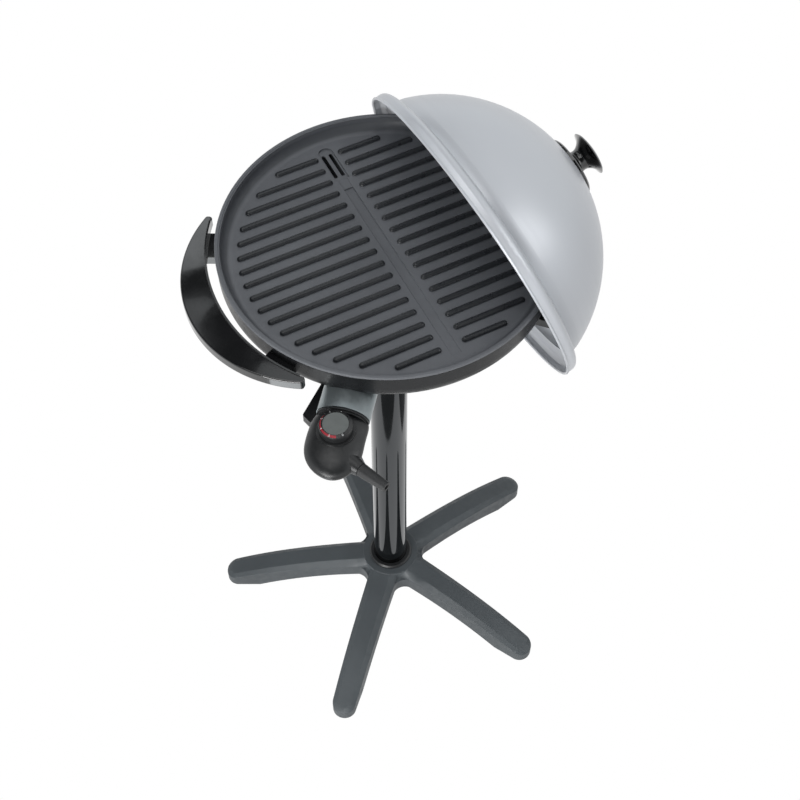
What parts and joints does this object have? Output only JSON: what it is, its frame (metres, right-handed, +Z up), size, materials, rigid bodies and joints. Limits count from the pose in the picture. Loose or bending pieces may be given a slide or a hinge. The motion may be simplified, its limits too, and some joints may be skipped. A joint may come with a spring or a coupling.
{
  "type": "electric pedestal grill",
  "caption": "Round ribbed electric grill on a column and star base, with crescent handles, a plug-in thermostat, a drip tray and a loose domed lid parked on edge over its right side.",
  "frame": {"origin": "on the floor, on the column's axis", "axes": "+Z up along the column; +X along the ribs to the right handle, over which the lid is parked; +Y along the plate's channel to its drain, at the back"},
  "size_m": [0.5933, 0.5874, 1.0616],
  "materials": {
    "dark_enamel": "matte textured powder coat",
    "foot_rubber": "matte",
    "zinc_steel": "zinc plated",
    "black_chrome": "glossy black chrome",
    "black_plastic": "fine moulded grain",
    "cast_socket": "cast",
    "housing_enamel": "satin black heat-proof enamel",
    "reflector_sheet": "bright sheet",
    "coated_cast": "matte non-stick coating on die-cast aluminium",
    "element_sheath": "dull oxidised sheath",
    "handle_gloss": "glossy moulded",
    "hood_steel": "satin grey",
    "ceramic_block": "unglazed",
    "contact_brass": "bare",
    "tray_steel": "pressed sheet",
    "switch_board": "phenolic board",
    "probe_steel": "drawn tube",
    "boot_rubber": "matte",
    "dial_scale": "printed scale ring",
    "knob_grey": "satin grey",
    "lid_steel": "satin spun",
    "knob_gloss": "glossy moulded"
  },
  "bodies": {
    "stand": {"base_star": "dark_enamel", "foot_pads": "foot_rubber", "base_collar": "dark_enamel", "base_bolt": "zinc_steel", "base_washer": "zinc_steel", "column_tube": "black_chrome", "column_plug": "zinc_steel", "column_cap": "black_plastic"},
    "head": {"column_socket": "cast_socket", "socket_screws": "zinc_steel", "housing_bowl": "housing_enamel", "heat_reflector": "reflector_sheet", "reflector_screws": "zinc_steel", "grill_plate": "coated_cast", "plate_screws": "zinc_steel", "heating_element": "element_sheath", "element_clamps": "zinc_steel", "clamp_screws": "zinc_steel", "left_handle": "handle_gloss", "right_handle": "handle_gloss", "handle_screws": "zinc_steel", "table_feet": "black_plastic", "table_foot_pads": "foot_rubber", "table_foot_screws": "zinc_steel", "tray_rails": "black_plastic", "rail_screws": "zinc_steel", "probe_hood": "hood_steel", "hood_brackets": "zinc_steel", "hood_screws": "zinc_steel", "terminal_block": "ceramic_block", "terminal_pins": "contact_brass"},
    "tray": {"drip_tray": "tray_steel"},
    "thermostat": {"thermostat_upper_shell": "black_plastic", "thermostat_lower_shell": "black_plastic", "shell_screws": "zinc_steel", "thermostat_switch": "switch_board", "contact_sleeves": "contact_brass", "sensor_probe": "probe_steel", "strain_relief": "boot_rubber"},
    "dial": {"control_knob": "black_plastic", "dial_ring": "dial_scale", "knob_cap": "knob_grey", "knob_shaft": "zinc_steel"},
    "lid": {"lid_dome": "lid_steel", "lid_plate": "knob_gloss", "lid_knob": "knob_gloss", "lid_washer": "zinc_steel", "lid_screw": "zinc_steel"}
  },
  "joints": [
    {"name": "head_lift", "type": "slide", "parent": "stand", "child": "head", "axis": [0, 0, 1], "range_m": [0, 0.06]},
    {"name": "tray_slide", "type": "slide", "parent": "head", "child": "tray", "axis": [0, 1, 0], "range_m": [0, 0.12]},
    {"name": "thermostat_pull", "type": "slide", "parent": "head", "child": "thermostat", "axis": [-0.6347, -0.7727, 0], "range_m": [0, 0.09]},
    {"name": "dial_turn", "type": "hinge", "parent": "thermostat", "child": "dial", "pos_m": [-0.17387, -0.20853, 0.8787], "axis": [0, 0, 1], "range_deg": [-270, 0]},
    {"name": "lid_lift", "type": "slide", "parent": "head", "child": "lid", "axis": [0.9475, 0.0654, 0.313], "range_m": [0, 0.26]}
  ]
}
